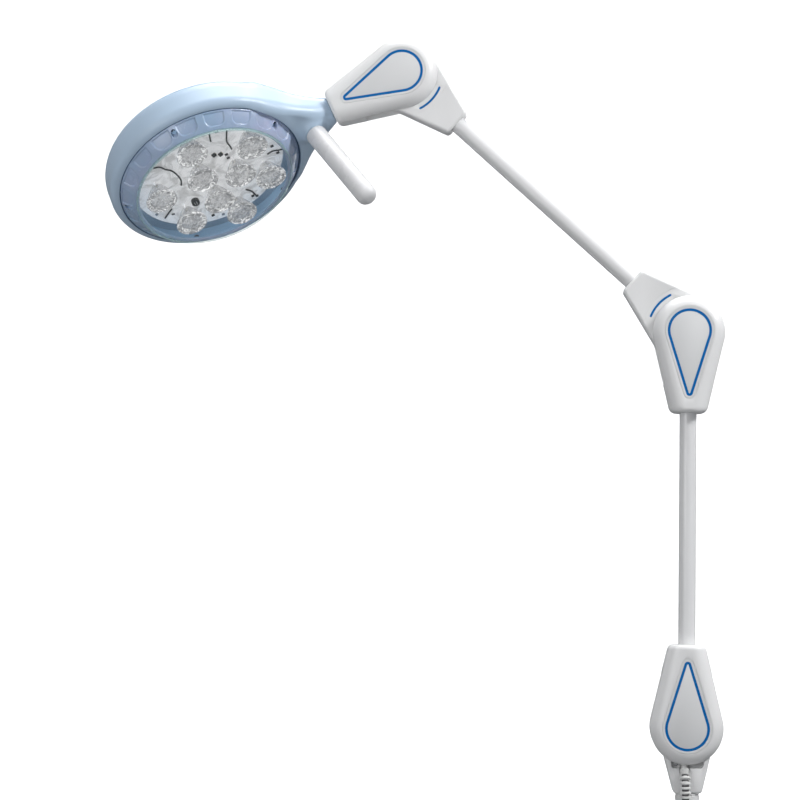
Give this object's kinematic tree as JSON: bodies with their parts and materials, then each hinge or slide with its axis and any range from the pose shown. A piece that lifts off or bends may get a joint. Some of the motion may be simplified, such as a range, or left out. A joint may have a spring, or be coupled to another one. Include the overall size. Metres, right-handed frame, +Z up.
{
  "type": "surgical light",
  "caption": "Small examination lamp: a round lens-covered LED head with a handle, rolling and tilting on a two-part friction arm above a swivelling post.",
  "frame": {"origin": "middle of the clamped length of the post pin, on its axis", "axes": "+Z up along the post; the arm folds in the XZ plane with its hinges along Y; at rest the head reaches out towards -X and -Y faces the viewer"},
  "size_m": [0.7528, 0.2301, 1.2379],
  "materials": {
    "post_paint": "smooth white powder coat",
    "shell_white": "smooth satin white",
    "plate_grey": "smooth light grey",
    "line_blue": "smooth mid blue",
    "steel": "turned steel",
    "bush_bronze": "sintered bronze",
    "friction_black": "black friction lining",
    "screw_dark": "dark zinc plate",
    "tube_paint": "glossy white paint",
    "cable_white": "white vinyl sheath",
    "tie_black": "black strap",
    "plug_white": "fine spark-eroded texture",
    "pin_metal": "nickel-plated brass",
    "head_shell": "smooth bluish white",
    "cover_blue": "translucent blue-grey",
    "gasket_navy": "dark blue rubber",
    "window_clear": "clear polycarbonate",
    "heat_aluminium": "plain aluminium",
    "board_white": "white solder mask",
    "chip_yellow": "phosphor yellow",
    "lens_clear": "clear acrylic",
    "part_black": "moulded black",
    "handle_white": "smooth white",
    "button_grey": "soft-touch grey"
  },
  "bodies": {
    "post": {"mount_post": "post_paint", "swivel_bushes": "bush_bronze"},
    "base": {"base_bracket": "shell_white", "swivel_spindle": "steel", "thrust_washer": "friction_black", "spindle_clip": "screw_dark", "base_hinge_bush": "bush_bronze", "pocket_screw": "steel", "strain_relief": "cable_white", "cable": "cable_white", "cable_coil": "cable_white", "coil_tie": "tie_black", "power_plug": "plug_white", "plug_pins": "pin_metal"},
    "lower_arm": {"shoulder_fork_front": "shell_white", "shoulder_fork_rear": "shell_white", "shoulder_plates": "plate_grey", "shoulder_inlays": "line_blue", "shoulder_bolt": "steel", "shoulder_nut": "steel", "shoulder_washers": "friction_black", "lower_tube": "tube_paint", "lower_arm_screws": "screw_dark", "elbow_fork_front": "shell_white", "elbow_fork_rear": "shell_white", "elbow_plates": "plate_grey", "elbow_inlays": "line_blue", "elbow_bolt": "steel", "elbow_nut": "steel", "elbow_washers": "friction_black"},
    "upper_arm": {"elbow_bracket": "shell_white", "wrist_bracket": "shell_white", "arc_inlays": "line_blue", "upper_arm_bushes": "bush_bronze", "upper_tube": "tube_paint"},
    "head_knuckle": {"wrist_fork_front": "shell_white", "wrist_fork_rear": "shell_white", "wrist_plates": "plate_grey", "wrist_inlays": "line_blue", "wrist_bolt": "steel", "wrist_nut": "steel", "wrist_washers": "friction_black", "knuckle_screws": "screw_dark", "roll_bush": "bush_bronze"},
    "head": {"roll_spindle": "steel", "spindle_ring": "screw_dark", "head_housing": "head_shell", "rear_cover": "head_shell", "front_ring": "cover_blue", "window_gasket": "gasket_navy", "window": "window_clear", "cover_screws": "steel", "heat_sink": "heat_aluminium", "led_board": "board_white", "led_chips": "chip_yellow", "lenses": "lens_clear", "board_parts": "part_black", "handle_stud": "steel", "handle": "handle_white"},
    "button": {"power_button": "button_grey"}
  },
  "joints": [
    {"name": "base_swivel", "type": "hinge", "parent": "post", "child": "base", "pos_m": [0, 0, 0.1], "axis": [0, 0, 1], "range_deg": [-160, 160]},
    {"name": "shoulder_tilt", "type": "hinge", "parent": "base", "child": "lower_arm", "pos_m": [0, 0, 0.187], "axis": [0, 1, 0], "range_deg": [-60, 60]},
    {"name": "elbow_tilt", "type": "hinge", "parent": "lower_arm", "child": "upper_arm", "pos_m": [0.00803, 0, 0.64693], "axis": [0, 1, 0], "range_deg": [-65, 45]},
    {"name": "head_tilt", "type": "hinge", "parent": "upper_arm", "child": "head_knuckle", "pos_m": [-0.32839, 0, 0.96065], "axis": [0, 1, 0], "range_deg": [-45, 65]},
    {"name": "head_roll", "type": "hinge", "parent": "head_knuckle", "child": "head", "pos_m": [-0.32839, 0, 0.96065], "axis": [-0.9063, 0, -0.4226], "range_deg": [-120, 120]},
    {"name": "power_button", "type": "slide", "parent": "head", "child": "button", "axis": [0.3782, -0.4462, -0.8111], "range_m": [0, 0.0015], "stiffness_N_per_m": 600}
  ]
}
